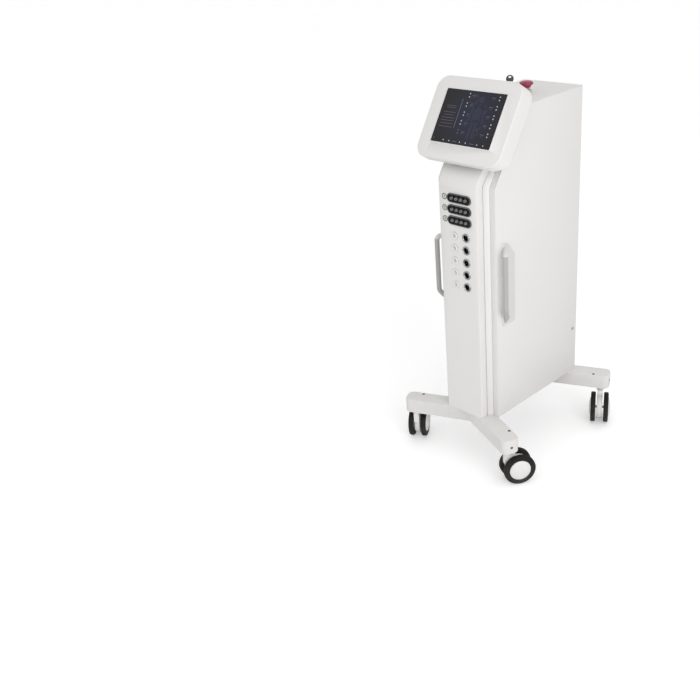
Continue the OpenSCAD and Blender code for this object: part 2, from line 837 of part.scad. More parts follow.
module fan_frame() {
    depth = 25;
    color(black) translate([0, back_y - sheet_t, fan_z]) rotate([90, 0, 0]) {
        difference() {
            linear_extrude(depth) difference() {
                rounded_rect(fan_size, fan_size, 5);
                circle(fan_size / 2 - 2.5);
                for (sx = [-1, 1], sy = [-1, 1])
                    translate([sx * 41.25, sy * 41.25]) circle(2.15, $fn = 32);
            }
        }
        translate([0, 0, depth - 3]) {
            cylinder(r = 16, h = 3);
            for (a = [0 : 90 : 359]) rotate(a + 45)
                translate([14, -2, 0]) cube([31, 4, 3]);
        }
        translate([0, 0, 6]) cylinder(r = 2, h = 18, $fn = 32);
    }
}

module fan_rotor() {
    color(black) translate([0, back_y - sheet_t, fan_z]) rotate([90, 0, 0]) difference() {
        union() {
            translate([0, 0, 3.5]) cylinder(r = 17, h = 17);
            for (a = [0 : 7]) rotate(a * 45) translate([29, 0, 12])
                rotate([38, 0, 0]) cube([26, 1.6, 17], center = true);
        }
        translate([0, 0, 5]) cylinder(r = 2 + fit_gap, h = 30, $fn = 32);
    }
}

// Twin-head air pump: motor barrel between two cylinder blocks on a plate
module air_pump() {
    base_z = col_z + sheet_t + 10;
    mid_y = front_y + 290;
    color(metal) translate([0, mid_y, base_z]) {
        translate([-75, -95, 0]) cube([150, 190, 5]);
        translate([0, 0, 62]) rotate([90, 0, 0]) cylinder(r = 44, h = 120, center = true);
        for (s = [-1, 1]) translate([0, s * 72, 0]) {
            translate([-46, -20, 5 - eps]) cube([92, 40, 105]);
            for (i = [0 : 4]) translate([-50, -22, 40 + i * 14]) cube([100, 44, 5]);
            translate([0, 0, 110 - eps]) cylinder(r = 26, h = 14);
        }
        translate([hose_x, -94, hose_low_z - base_z]) rotate([90, 0, 0]) cylinder(r = 3.9, h = 20);
    }
}

module pump_feet() {
    color(rubber_black) for (sx = [-1, 1], sy = [-1, 1])
        translate([sx * 60, front_y + 290 + sy * 80, col_z + sheet_t]) cylinder(r = 11, h = 10);
}

// Drilled block on the upper shelf with a tail for every nozzle
module valve_manifold() {
    block_w = 92;
    block_z = shelf_z + sheet_t;
    color(metal) {
        translate([air_x - block_w / 2, manifold_y, block_z])
            cube([block_w, manifold_d, 112]);
        each_nozzle() translate([0, 0, -56 - eps]) cylinder(r = 2.9, h = 12);
        translate([hose_x, hose_y, block_z - 18]) cylinder(r = 3.9, h = 18 + eps);
    }
}

// One valve behind every nozzle
module solenoid_valves() {
    color(black) each_nozzle() translate([0, 0, -56 - manifold_d]) {
        translate([0, 0, -30]) cylinder(r = 6.5, h = 30);
        translate([-7, -9, -26]) cube([14, 18, 18]);
    }
}

// Short hoses from the nozzles to the manifold, and the pump's supply hose
module air_hoses() {
    supply_r = 6.5;
    supply_bore = 3.95;
    turn_y = hose_y + elbow_r;
    turn_z = hose_low_z + elbow_r;
    pump_face = front_y + 290 - 95;
    color(rubber_black) {
        each_nozzle() translate([0, 0, -54]) tube(4.6, 2.95, 38);
        translate([hose_x, hose_y, turn_z]) tube(supply_r, supply_bore, shelf_z - 1 - turn_z);
        translate([hose_x, turn_y, hose_low_z]) rotate([-90, 0, 0])
            tube(supply_r, supply_bore, pump_face - 2 - turn_y);
        translate([hose_x, turn_y, turn_z]) rotate([90, 0, 90]) rotate(180)
            rotate_extrude(angle = 90) translate([elbow_r, 0]) difference() {
                circle(supply_r);
                circle(supply_bore);
            }
    }
}

module power_supply() {
    base_z = lower_shelf_z + sheet_t;
    color(metal) translate([-20, front_y + 300, base_z]) {
        difference() {
            translate([-49, -100, 0]) cube([98, 200, 48]);
            for (i = [0 : 8]) translate([-40, -70 + i * 16, 45]) cube([80, 6, 6]);
        }
        for (i = [0 : 8]) translate([-42 + i * 9.5, -112, 4]) cube([7, 12 + eps, 14]);
    }
}

// Two sheet shelves with holes for the supply hose
module inner_shelves() {
    shelf_y = corner_y + sheet_t + 2;
    shelf_d = col_d - 2 * sheet_t - 4;
    color(white) for (z = [lower_shelf_z, shelf_z]) difference() {
        translate([-inner_w / 2, shelf_y, z]) cube([inner_w, shelf_d, sheet_t]);
        translate([hose_x, hose_y, z - 1]) cylinder(r = 8, h = sheet_t + 2);
        translate([70, front_y + 340, z - 1]) cylinder(r = 14, h = sheet_t + 2);
    }
}

front_leg_beam();
rear_leg_beam();
base_rails();
leg_bolts();
floor_tray();
caster_fork_front_left();
caster_fork_front_right();
caster_fork_rear_left();
caster_fork_rear_right();
caster_axle_front_left();
caster_axle_front_right();
caster_axle_rear_left();
caster_axle_rear_right();
wheel_front_left_a();
wheel_front_left_b();
wheel_front_right_a();
wheel_front_right_b();
wheel_rear_left_a();
wheel_rear_left_b();
wheel_rear_right_a();
wheel_rear_right_b();
side_panel_left();
side_panel_right();
top_panel();
rear_panel();
upper_front_panel();
front_fascia();
fascia_trims();
panel_screws();
head_bracket();
head_shell();
screen_bezel();
display_glass();
display_module();
circuit_boards();
air_socket_plates();
air_nozzles();
number_badges();
infrared_rings();
infrared_cores();
stimulation_sockets();
handle_left();
handle_right();
key_switch();
key();
estop_base();
estop_plunger();
estop_head();
power_inlet();
power_switch_frame();
power_rocker();
fan_frame();
fan_rotor();
air_pump();
pump_feet();
valve_manifold();
solenoid_valves();
air_hoses();
power_supply();
inner_shelves();
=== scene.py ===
# %% [markdown]
# # A compression therapy pump on casters
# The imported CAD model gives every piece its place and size. This lesson dresses it:
# some CAD pieces stay and get a finish, some are copied and get rounded edges, and
# the ones that are looked at closely are made again with more detail. Units are
# metres, +X is right, +Y goes from the front to the back, and the floor is at Z = 0.

import json
import math

import bmesh
import bpy
from mathutils import Matrix, Vector


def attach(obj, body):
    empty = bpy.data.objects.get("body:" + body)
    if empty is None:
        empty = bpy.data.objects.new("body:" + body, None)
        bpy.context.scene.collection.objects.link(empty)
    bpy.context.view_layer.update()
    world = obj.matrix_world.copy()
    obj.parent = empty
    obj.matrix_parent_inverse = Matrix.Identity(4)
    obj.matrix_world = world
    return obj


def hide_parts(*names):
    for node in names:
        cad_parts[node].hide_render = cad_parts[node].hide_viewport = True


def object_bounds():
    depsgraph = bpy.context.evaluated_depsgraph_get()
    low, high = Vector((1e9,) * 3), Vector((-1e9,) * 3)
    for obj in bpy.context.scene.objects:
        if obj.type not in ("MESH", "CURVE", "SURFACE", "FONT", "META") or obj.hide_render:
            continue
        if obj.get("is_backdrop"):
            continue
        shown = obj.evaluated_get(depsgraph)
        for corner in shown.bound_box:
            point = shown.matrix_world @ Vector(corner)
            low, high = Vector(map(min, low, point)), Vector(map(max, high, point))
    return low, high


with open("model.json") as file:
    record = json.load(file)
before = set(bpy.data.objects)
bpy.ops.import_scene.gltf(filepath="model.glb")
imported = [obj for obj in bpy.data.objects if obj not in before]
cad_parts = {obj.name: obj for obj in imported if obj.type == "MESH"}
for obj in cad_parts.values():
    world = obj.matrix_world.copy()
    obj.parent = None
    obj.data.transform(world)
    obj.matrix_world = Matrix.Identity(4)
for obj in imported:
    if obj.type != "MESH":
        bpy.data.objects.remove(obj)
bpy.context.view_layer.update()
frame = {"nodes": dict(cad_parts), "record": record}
MM = 0.001

# %% [markdown]
# ## The camera
# The reference view was matched by fitting a pinhole camera to the machine's edges:
# 49.7 degrees round to the right, 27.3 degrees down, with the picture tipped a little.
# The three axes below are the camera's own right, up and backward directions.

# %% Place the camera
turn, drop, tip = (math.radians(v) for v in (49.7, 27.3, -5.76))
away = Vector((math.sin(turn) * math.cos(drop), -math.cos(turn) * math.cos(drop), math.sin(drop)))
level = Vector((math.cos(turn), math.sin(turn), 0))
rise = away.cross(level)
view_right = math.cos(tip) * level + math.sin(tip) * rise
view_up = math.cos(tip) * rise - math.sin(tip) * level
camera_data = bpy.data.cameras.new("reference_view")
camera_data.lens = 46.28
camera_data.sensor_width = 36
camera_data.clip_end = 100
camera = bpy.data.objects.new("reference_view", camera_data)
bpy.context.scene.collection.objects.link(camera)
camera.matrix_world = (
    Matrix.Translation((1.6237, -2.0452, 1.6707))
    @ Matrix((view_right, view_up, away)).transposed().to_4x4()
)
bpy.context.scene.camera = camera
print("camera at", [round(v, 3) for v in camera.matrix_world.translation])

# %% [markdown]
# ## Finishes
# Every surface starts from one shader group. It takes a colour and varies it slowly
# over a hand's width, varies the roughness the same way, and puts out a fine height
# for a Bump node. The group only puts out values that change over the surface, and
# the Principled shader stays in each material, so that an export can read it.

# %% Shader group: cloudy tone and fine grain
def new_group(name, inputs, outputs):
    """An empty shader group with named sockets, and its input and output nodes."""
    group = bpy.data.node_groups.new(name, "ShaderNodeTree")
    for label, kind, value in inputs:
        socket = group.interface.new_socket(label, in_out="INPUT", socket_type="NodeSocket" + kind)
        socket.default_value = value
    for label, kind in outputs:
        group.interface.new_socket(label, in_out="OUTPUT", socket_type="NodeSocket" + kind)
    return group, group.nodes.new("NodeGroupInput"), group.nodes.new("NodeGroupOutput")


def add_node(tree, kind, **values):
    """A node whose named inputs, or settings where there is no such input, are given."""
    node = tree.nodes.new("ShaderNode" + kind)
    for key, value in values.items():
        label = key.replace("_", " ")
        if label in node.inputs:
            node.inputs[label].default_value = value
        else:
            setattr(node, key, value)
    return node


def math_node(tree, operation, first, second):
    """A Math node; each input is a number or another node's output."""
    node = add_node(tree, "Math", operation=operation)
    for socket, value in zip(node.inputs, (first, second)):
        if isinstance(value, (int, float)):
            socket.default_value = value
        else:
            tree.links.new(value, socket)
    return node.outputs[0]


grain_group, g_in, g_out = new_group(
    "cloud_and_grain",
    [("Color", "Color", (0.8, 0.8, 0.8, 1)), ("Tone", "Float", 0.03), ("Cloud", "Float", 7.0),
     ("Grain", "Float", 900.0), ("Rough", "Float", 0.4), ("Rough spread", "Float", 0.1)],
    [("Color", "Color"), ("Roughness", "Float"), ("Height", "Float")],
)
place = add_node(grain_group, "TexCoord")
cloud = add_node(grain_group, "TexNoise", Detail=3.0)
speck = add_node(grain_group, "TexNoise", Detail=2.0)
for noise, size in ((cloud, "Cloud"), (speck, "Grain")):
    grain_group.links.new(place.outputs["Object"], noise.inputs["Vector"])
    grain_group.links.new(g_in.outputs[size], noise.inputs["Scale"])
swing = math_node(grain_group, "SUBTRACT", cloud.outputs["Fac"], 0.5)
tone = math_node(grain_group, "MULTIPLY", swing, g_in.outputs["Tone"])
shade = add_node(grain_group, "HueSaturation")
grain_group.links.new(math_node(grain_group, "ADD", tone, 1.0), shade.inputs["Value"])
grain_group.links.new(g_in.outputs["Color"], shade.inputs["Color"])
rough = math_node(grain_group, "MULTIPLY", swing, g_in.outputs["Rough spread"])
grain_group.links.new(shade.outputs["Color"], g_out.inputs["Color"])
grain_group.links.new(math_node(grain_group, "ADD", rough, g_in.outputs["Rough"]), g_out.inputs["Roughness"])
grain_group.links.new(speck.outputs["Fac"], g_out.inputs["Height"])
print("group", grain_group.name, "has", len(grain_group.nodes), "nodes")

# %% [markdown]
# A second group lays floor dust over a colour: most at the floor, none above a given
# height, and broken up by noise, as on a trolley that is wheeled about.

# %% Shader group: floor dust
dust_group, d_in, d_out = new_group(
    "floor_dust",
    [("Color", "Color", (0.8, 0.8, 0.8, 1)), ("Dust", "Color", (0.35, 0.33, 0.3, 1)),
     ("Height", "Float", 0.1), ("Amount", "Float", 0.3)],
    [("Color", "Color"), ("Mask", "Float")],
)
place = add_node(dust_group, "TexCoord")
apart = add_node(dust_group, "SeparateXYZ")
dust_group.links.new(place.outputs["Object"], apart.inputs[0])
fade = add_node(dust_group, "MapRange")
dust_group.links.new(apart.outputs["Z"], fade.inputs["Value"])
dust_group.links.new(d_in.outputs["Height"], fade.inputs["From Min"])
fade.inputs["From Max"].default_value = 0.0
blotch = add_node(dust_group, "TexNoise", Scale=60.0, Detail=4.0)
dust_group.links.new(place.outputs["Object"], blotch.inputs["Vector"])
mask = math_node(dust_group, "MULTIPLY", fade.outputs["Result"], blotch.outputs["Fac"])
mask = math_node(dust_group, "MULTIPLY", mask, d_in.outputs["Amount"])
cover = add_node(dust_group, "Mix", data_type="RGBA")
dust_group.links.new(mask, cover.inputs["Factor"])
dust_group.links.new(d_in.outputs["Color"], cover.inputs[6])
dust_group.links.new(d_in.outputs["Dust"], cover.inputs[7])
dust_group.links.new(cover.outputs[2], d_out.inputs["Color"])
dust_group.links.new(mask, d_out.inputs["Mask"])
print("group", dust_group.name, "has", len(dust_group.nodes), "nodes")

# %% Make a finish
def tint(red, green, blue):
    """A screen colour from 0 to 255 as the linear colour that a shader takes."""
    parts = [v / 255 for v in (red, green, blue)]
    return [v / 12.92 if v < 0.041 else ((v + 0.055) / 1.055) ** 2.4 for v in parts] + [1]


def finish(name, color, rough=0.4, spread=0.1, tone=0.03, cloud=7, grain=900, bump=0.1,
           depth=0.05, dust=0, dust_height=0.1, **plain):
    """A material: group values, a bump in mm of depth, and plain shader sockets by name."""
    material = bpy.data.materials.new(name)
    material.use_nodes = True
    tree = material.node_tree
    shader = tree.nodes["Principled BSDF"]
    pattern = add_node(tree, "Group", node_tree=grain_group)
    for label, value in (("Color", tint(*color)), ("Tone", tone), ("Cloud", cloud), ("Grain", grain),
                         ("Rough", rough), ("Rough spread", spread)):
        pattern.inputs[label].default_value = value
    coat = pattern.outputs["Color"]
    if dust:
        layer = add_node(tree, "Group", node_tree=dust_group)
        layer.inputs["Height"].default_value = dust_height
        layer.inputs["Amount"].default_value = dust
        tree.links.new(coat, layer.inputs["Color"])
        coat = layer.outputs["Color"]
    relief = add_node(tree, "Bump", Strength=bump, Distance=depth * MM)
    tree.links.new(coat, shader.inputs["Base Color"])
    tree.links.new(pattern.outputs["Roughness"], shader.inputs["Roughness"])
    tree.links.new(pattern.outputs["Height"], relief.inputs["Height"])
    tree.links.new(relief.outputs["Normal"], shader.inputs["Normal"])
    for label, value in plain.items():
        shader.inputs[label.replace("_", " ")].default_value = value
    return material


powder = finish("powder_coat_white", (228, 226, 224), rough=0.42, tone=0.025, grain=520, bump=0.35,
                depth=0.06, dust=0.25, dust_height=0.3)
moulded = finish("moulded_white", (230, 229, 227), rough=0.3, tone=0.02, grain=1400, bump=0.15, depth=0.03)
satin_white = finish("satin_white", (235, 233, 232), rough=0.34, tone=0.02, grain=1500, bump=0.12, depth=0.03,
                     dust=0.3, dust_height=0.12)
grip_grey = finish("grip_grey", (178, 177, 176), rough=0.36, tone=0.05, grain=1300, bump=0.25, depth=0.04)
plate_grey = finish("plate_grey", (216, 215, 213), rough=0.4, tone=0.03, grain=1300, bump=0.2, depth=0.04)
chassis_grey = finish("chassis_grey", (92, 92, 94), rough=0.45, tone=0.08, grain=600, bump=0.35, depth=0.06)
socket_black = finish("socket_black", (9, 9, 10), rough=0.38, tone=0.15, grain=1600, bump=0.2, depth=0.03,
                      IOR=1.3)
tyre_black = finish("tyre_black", (11, 10, 10), rough=0.6, tone=0.25, grain=1100, bump=0.4, depth=0.08,
                    dust=0.2, dust_height=0.11, IOR=1.3)
soft_rubber = finish("soft_rubber", (34, 33, 33), rough=0.6, tone=0.2, grain=900, bump=0.3, depth=0.06)
polished = finish("polished_ring", (205, 206, 208), rough=0.16, spread=0.08, tone=0.04, grain=800, bump=0.05,
                  depth=0.02, Metallic=1.0)
zinc_steel = finish("zinc_steel", (168, 169, 172), rough=0.34, spread=0.15, tone=0.1, grain=700, bump=0.12,
                    depth=0.03, Metallic=1.0)
cast_alloy = finish("cast_alloy", (166, 168, 172), rough=0.5, spread=0.12, tone=0.1, grain=420, bump=0.5,
                    depth=0.1, Metallic=1.0)
stop_red = finish("stop_red", (150, 38, 74), rough=0.3, tone=0.06, grain=1500, bump=0.1, depth=0.02)
board_green = finish("board_green", (38, 96, 66), rough=0.4, tone=0.15, grain=350, bump=0.3, depth=0.05)
print("finishes", len(bpy.data.materials))

# %% [markdown]
# ## Rounding the CAD pieces' edges
# A folded panel or a moulded cover never has a knife edge: a narrow round catches a
# thin line of light, and that line is what makes it look real. A CAD node's own mesh
# is left alone. Its copy is merged, its flat faces are cleaned, and a bevel rounds the
# sharp edges. The copy then stands for the node.

# %% Helpers: make an object, and soften a node
def new_piece(name, bm, materials, body, stands_for=(), crease=35):
    """Turns a bmesh into an object that rides on a body and may stand for CAD nodes."""
    mesh = bpy.data.meshes.new(name)
    bm.to_mesh(mesh)
    bm.free()
    for material in materials:
        mesh.materials.append(material)
    mesh.polygons.foreach_set("use_smooth", [True] * len(mesh.polygons))
    mesh.set_sharp_from_angle(angle=math.radians(crease))
    piece = bpy.data.objects.new(name, mesh)
    bpy.context.scene.collection.objects.link(piece)
    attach(piece, body)
    if stands_for:
        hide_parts(*stands_for)
    return piece


body_of = {node: body for body, nodes in frame["record"]["behaviour"]["bodies"].items() for node in nodes}


def soften(node, width, material, only=None, steps=2, sharp=28):
    """A copy of a CAD node, standing for it, with sharp edges rounded by width mm (0: none)."""
    bm = bmesh.new()
    bm.from_mesh(frame["nodes"][node].data)
    bmesh.ops.remove_doubles(bm, verts=bm.verts, dist=2e-6)
    bmesh.ops.dissolve_limit(bm, angle_limit=math.radians(0.5), verts=bm.verts, edges=bm.edges)
    edges = [e for e in bm.edges if e.is_manifold and e.calc_face_angle() > math.radians(sharp)
             and (only is None or only((e.verts[0].co + e.verts[1].co) / 2))]
    if width:
        bmesh.ops.bevel(bm, geom=edges, offset=width * MM, offset_type="OFFSET", segments=steps,
                        profile=0.5, affect="EDGES", clamp_overlap=False, material=-1)
    piece = new_piece(node + "_shaped", bm, [material], body_of[node], (node,))
    print(node, "rounded edges:", len(edges) if width else 0, "faces:", len(piece.data.polygons))
    return piece


def dress(material, *nodes):
    """Gives CAD nodes that keep their own mesh a finish."""
    for node in nodes:
        frame["nodes"][node].data.materials[0] = material


# %% [markdown]
# ## The column
# Two folded side panels, a top panel and a screwed rear panel make a sheet-metal box,
# powder coated white. In front stands a moulded fascia, with flared trims beside it.
# Their gaps are real gaps in the CAD, so the dark seams come from the shapes.

# %% Round the column's edges
for side in ("left", "right"):
    soften(f"side_panel_{side}", 0.8, powder)
soften("top_panel", 0.7, powder, only=lambda p: p.y > 0.21 or abs(p.x) > 0.1 or p.y < 0.0)
soften("fascia_trims", 0.7, moulded)
soften("front_fascia", 2.2, moulded, only=lambda p: abs(p.x) > 0.0685 and p.y < -0.17, steps=3)
dress(powder, "rear_panel", "upper_front_panel", "floor_tray", "inner_shelves")

# %% [markdown]
# ## Turned pieces
# Wheels, sockets, nozzles, screws and buttons are round, so each is spun from half of
# its outline: a row of points, each a radius and a height in millimetres. A profile
# that starts and ends on the axis closes by itself; any other is closed into a ring.

# %% Helpers: spin an outline, and gather parts
def turned(outline, steps=48, ring=False):
    """Spins (radius, height) points in mm about Z and returns the closed shape."""
    bm = bmesh.new()
    verts = [bm.verts.new((r * MM, 0, h * MM)) for r, h in outline]
    pairs = list(zip(verts, verts[1:])) + ([(verts[-1], verts[0])] if ring else [])
    edges = [bm.edges.new(pair) for pair in pairs]
    bmesh.ops.spin(bm, geom=verts + edges, cent=(0, 0, 0), axis=(0, 0, 1), angle=math.tau,
                   steps=steps, use_merge=True)
    bmesh.ops.remove_doubles(bm, verts=bm.verts, dist=1e-7)
    bmesh.ops.recalc_face_normals(bm, faces=bm.faces)
    return bm


def gather(bm, part, place=Matrix(), material=0):
    """Puts a part into bm at a place, with one material, and frees the part."""
    for face in part.faces:
        face.material_index = material
    part.transform(place)
    scrap = bpy.data.meshes.new("scrap")
    part.to_mesh(scrap)
    part.free()
    bm.from_mesh(scrap)
    bpy.data.meshes.remove(scrap)


def box(low, high, round_by=0.0):
    """A block between two corners in mm, with rounded edges."""
    bm = bmesh.new()
    size = [b - a for a, b in zip(low, high)]
    middle = [(a + b) / 2 for a, b in zip(low, high)]
    bmesh.ops.create_cube(bm, size=1, matrix=Matrix.Translation([v * MM for v in middle])
                          @ Matrix.Diagonal([v * MM for v in size] + [1]))
    if round_by:
        bmesh.ops.bevel(bm, geom=bm.edges, offset=round_by * MM, segments=2, profile=0.5,
                        affect="EDGES", material=-1)
    return bm


def at(x, y, z, turn_x=0, turn_z=0):
    """A place in mm, turned about X and then about Z, in degrees."""
    return (Matrix.Translation((x * MM, y * MM, z * MM)) @ Matrix.Rotation(math.radians(turn_z), 4, "Z")
            @ Matrix.Rotation(math.radians(turn_x), 4, "X"))


# %% [markdown]
# ## The base and its casters
# Each leg beam is a folded and welded V, open below. A caster has a white web between
# two wheels. A wheel is a rubber tyre on a white disc, and a domed cap hides the axle.

# %% Legs, forks and axles
for end in ("front", "rear"):
    soften(f"{end}_leg_beam", 1.6, powder, only=lambda p: p.z > 0.119 and not (0.12 < p.z < 0.163))
    for side in ("left", "right"):
        soften(f"caster_fork_{end}_{side}", 0.9, satin_white, only=lambda p: p.z < 0.103)
        dress(zinc_steel, f"caster_axle_{end}_{side}")
dress(chassis_grey, "base_rails")

# %% Wheels
BEAM_Y, LEG_ANGLE, SWIVEL_AT, TRAIL, TRAIL_ANGLE, WHEEL_R = 168, 23, 204, 32, 58, 50
SWIVEL = (SWIVEL_AT * math.cos(math.radians(LEG_ANGLE)),
          BEAM_Y + SWIVEL_AT * math.sin(math.radians(LEG_ANGLE)))
TYRE = [(33, 13.4), (45.5, 13), (48.4, 13.8), (49.8, 16), (50, 19.6), (49.2, 20), (49.2, 21), (50, 21.4),
        (49.8, 25.4), (48.4, 27.6), (45.5, 28.5), (36.6, 28.5), (35.2, 28), (34.6, 27), (33, 26.6)]
DISC = [(0, 25.5), (4.05, 25.5), (4.05, 13), (33.2, 13), (33.2, 27), (32.6, 28.6), (31, 29.6), (27, 31),
        (24.8, 31.8), (24.2, 31.2), (23.4, 31.3), (22.8, 32.3), (17, 33.3), (9, 33.9), (0, 34)]


def wheel_place(sx, sy, face):
    """Where a wheel's spun shape goes: at its axle, with the cap outwards."""
    turn_z = -sy * TRAIL_ANGLE if sx > 0 else 180 + sy * TRAIL_ANGLE
    return at(sx * SWIVEL[0], sy * SWIVEL[1], 0, 0, turn_z) @ at(TRAIL, 0, WHEEL_R, -90 * face)


for end, sy in (("front", -1), ("rear", 1)):
    for side, sx in (("left", -1), ("right", 1)):
        for letter, face in (("a", 1), ("b", -1)):
            bm = bmesh.new()
            gather(bm, turned(TYRE, 72, ring=True), wheel_place(sx, sy, face), 0)
            gather(bm, turned(DISC, 64), wheel_place(sx, sy, face), 1)
            name = f"wheel_{end}_{side}_{letter}"
            new_piece(name + "_shaped", bm, [tyre_black, satin_white], name, (name,), 30)
print("wheels made: 8, swivels at", [round(v, 1) for v in SWIVEL])

# %% [markdown]
# ## The handles
# A grey round bar stands off a base plate on each side. The bar is one circle that is
# extruded along the straight grip and spun round each bend, so its section stays
# round. The upper arm runs nearly straight in and the lower one slopes down, and each
# widens to an oval foot on the plate. The upper bend and arm take the plate's paler
# grey as painted light, where they face up into the light.

# %% One handle, mirrored for the other side
GRIP = Vector((129.5, -173, 619.5)) * MM
GRIP_HALF, GRIP_RADIUS, PAINTED_LIGHT_FROM = 87 * MM, 7.5 * MM, 83 * MM
FOOT_WIDE, FOOT_HIGH = 15 * MM, 9 * MM


def grip_end(bm, up, foot, radius):
    """Half of the grip from its middle: up is 1 or -1, radius is the bend's, in mm."""
    rise = Vector((0, 0, up))
    corner, foot, radius = GRIP + rise * GRIP_HALF, Vector(foot) * MM, radius * MM
    goal = (foot - corner).normalized()
    bend = rise.angle(goal)
    trim = radius * math.tan(bend / 2)
    ring = bmesh.ops.create_circle(bm, cap_ends=False, radius=GRIP_RADIUS, segments=32,
                                   matrix=Matrix.Translation(GRIP))["verts"]
    edges = list({e for v in ring for e in v.link_edges})
    last = bmesh.ops.extrude_edge_only(bm, edges=edges)["geom"]
    bmesh.ops.translate(bm, verts=[g for g in last if isinstance(g, bmesh.types.BMVert)],
                        vec=rise * (GRIP_HALF - trim))
    pole = rise.cross(goal).normalized()
    last = bmesh.ops.spin(bm, geom=[g for g in last if not isinstance(g, bmesh.types.BMFace)],
                          cent=corner - rise * trim + pole.cross(rise) * radius, axis=pole, angle=bend,
                          steps=8)["geom_last"]
    reach = (foot - corner).length - trim
    for share, widen in ((0.5, 0.0), (0.3, 0.3), (0.2, 1.0)):
        edges = [g for g in last if isinstance(g, bmesh.types.BMEdge)]
        last = bmesh.ops.extrude_edge_only(bm, edges=edges)["geom"]
        verts = [g for g in last if isinstance(g, bmesh.types.BMVert)]
        bmesh.ops.translate(bm, verts=verts, vec=goal * reach * share)
        middle = sum((v.co for v in verts), Vector()) / len(verts)
        wide, high = (max(abs(v.co[n] - middle[n]) for v in verts) for n in (1, 2))
        for vert in verts:
            off = vert.co - middle
            oval = middle + Vector((0, off.y * FOOT_WIDE / wide, off.z * FOOT_HIGH / high))
            vert.co = vert.co.lerp(oval, widen)
    bmesh.ops.holes_fill(bm, edges=[g for g in last if isinstance(g, bmesh.types.BMEdge)], sides=0)


def base_plate():
    """The plate behind the grip, drawn as an outline and extruded away from the panel."""
    bm = bmesh.new()
    outline = [(-158, 469.5), (-108, 469.5), (-102, 475.5), (-102, 685.5), (-129, 718.5), (-150, 730.5),
               (-158, 730.5)]
    face = bm.faces.new([bm.verts.new((104 * MM, y * MM, z * MM)) for y, z in outline])
    out = bmesh.ops.extrude_face_region(bm, geom=[face])["geom"]
    bmesh.ops.translate(bm, verts=[g for g in out if isinstance(g, bmesh.types.BMVert)], vec=(4 * MM, 0, 0))
    bmesh.ops.recalc_face_normals(bm, faces=bm.faces)
    rim = [e for e in bm.edges if max(v.co.x for v in e.verts) > 107 * MM]
    bmesh.ops.bevel(bm, geom=rim, offset=2.2 * MM, segments=3, profile=0.5, affect="EDGES", material=-1)
    return bm


for side, sx in (("left", -1), ("right", 1)):
    bm = bmesh.new()
    bar = bmesh.new()
    grip_end(bar, 1, (106, -139, 716.5), 13)
    grip_end(bar, -1, (106, -139, 483.5), 22)
    bmesh.ops.remove_doubles(bar, verts=bar.verts, dist=1e-6)
    bmesh.ops.recalc_face_normals(bar, faces=bar.faces)
    gather(bm, bar)
    # Faces high on the grip take the paler plate grey: painted light on the upper bend and arm, which face
    # up.
    for face in bm.faces:
        face.material_index = int(face.calc_center_median().z - GRIP.z > PAINTED_LIGHT_FROM)
    gather(bm, base_plate(), material=1)
    if sx < 0:
        bm.transform(Matrix.Diagonal((-1, 1, 1, 1)))
        bmesh.ops.reverse_faces(bm, faces=bm.faces)
    new_piece(f"handle_{side}_shaped", bm, [grip_grey, plate_grey], "machine", (f"handle_{side}",),
              40)
print("grip bar", round(GRIP.x / MM - 104, 1), "mm from the side panel")

# %% [markdown]
# ## The screen head
# The head's shell and bezel keep their CAD shapes, with a soft round along the bezel's
# front edge. The glass is dark, with a bluish middle, and the controls on it are
# generic: plain bars, arrows and a simple figure. They are thin tiles on the glass, so
# that they stay sharp at any size. No words or marks are drawn.

# %% Head shell, bezel and bracket
HEAD_TILT = 32.7
HEAD = Matrix.Translation((0, -0.232, 0.971)) @ Matrix.Rotation(math.radians(90 - HEAD_TILT), 4, "X")
GLASS_WIDE, GLASS_HIGH, GLASS_MIDDLE = 0.211, 0.153, 0.1238
to_head = HEAD.inverted()
soften("head_shell", 0, moulded)
soften("screen_bezel", 3.2, moulded, only=lambda p: (to_head @ p).z > -0.001 and (
    abs((to_head @ p).x) > 0.115 or abs((to_head @ p).y - GLASS_MIDDLE) > 0.09), steps=4)
dress(chassis_grey, "head_bracket")
dress(zinc_steel, "display_module")
dress(board_green, "circuit_boards")

# %% Dark glass with a bluish middle
glass = finish("screen_glass", (30, 29, 31), rough=0.22, spread=0.06, tone=0.1, bump=0.02, depth=0.01,
               IOR=1.33)
tree = glass.node_tree
place = add_node(tree, "TexCoord")
centre = add_node(tree, "Mapping", vector_type="POINT")
GLOW_REACH = 0.115
middle = HEAD @ Vector((0.012, 0.128, 0))
centre.inputs["Location"].default_value = [-v / GLOW_REACH for v in middle]
centre.inputs["Scale"].default_value = [1 / GLOW_REACH] * 3
glow = add_node(tree, "TexGradient", gradient_type="SPHERICAL")
blue = add_node(tree, "Mix", data_type="RGBA")
blue.inputs[7].default_value = tint(40, 42, 66)
shader = tree.nodes["Principled BSDF"]
dark = shader.inputs["Base Color"].links[0].from_socket
tree.links.new(place.outputs["Object"], centre.inputs["Vector"])
tree.links.new(centre.outputs["Vector"], glow.inputs["Vector"])
tree.links.new(glow.outputs["Fac"], blue.inputs["Factor"])
tree.links.new(dark, blue.inputs[6])
tree.links.new(blue.outputs[2], shader.inputs["Base Color"])
dress(glass, "display_glass")

# %% Controls on the screen
TILES = [finish("tile_" + name, color, rough=0.4, tone=0.05, bump=0.02, depth=0.01, IOR=1.33)
         for name, color in (("bright", (208, 211, 216)), ("label", (100, 104, 116)), ("row", (92, 87, 90)),
                             ("figure", (46, 48, 66)), ("line", (116, 120, 138)), ("green", (92, 122, 114)))]
BRIGHT, LABEL, ROW, FIGURE, LINE, GREEN = range(len(TILES))
TILE = 0.12
screen = bmesh.new()


def spot(u, v):
    """A point on the glass: u from the left, v from the top, both from 0 to 1."""
    across, up = (u - 0.5) * GLASS_WIDE, GLASS_MIDDLE + (0.5 - v) * GLASS_HIGH
    return HEAD @ Matrix.Translation((across, up, -0.3 * MM))


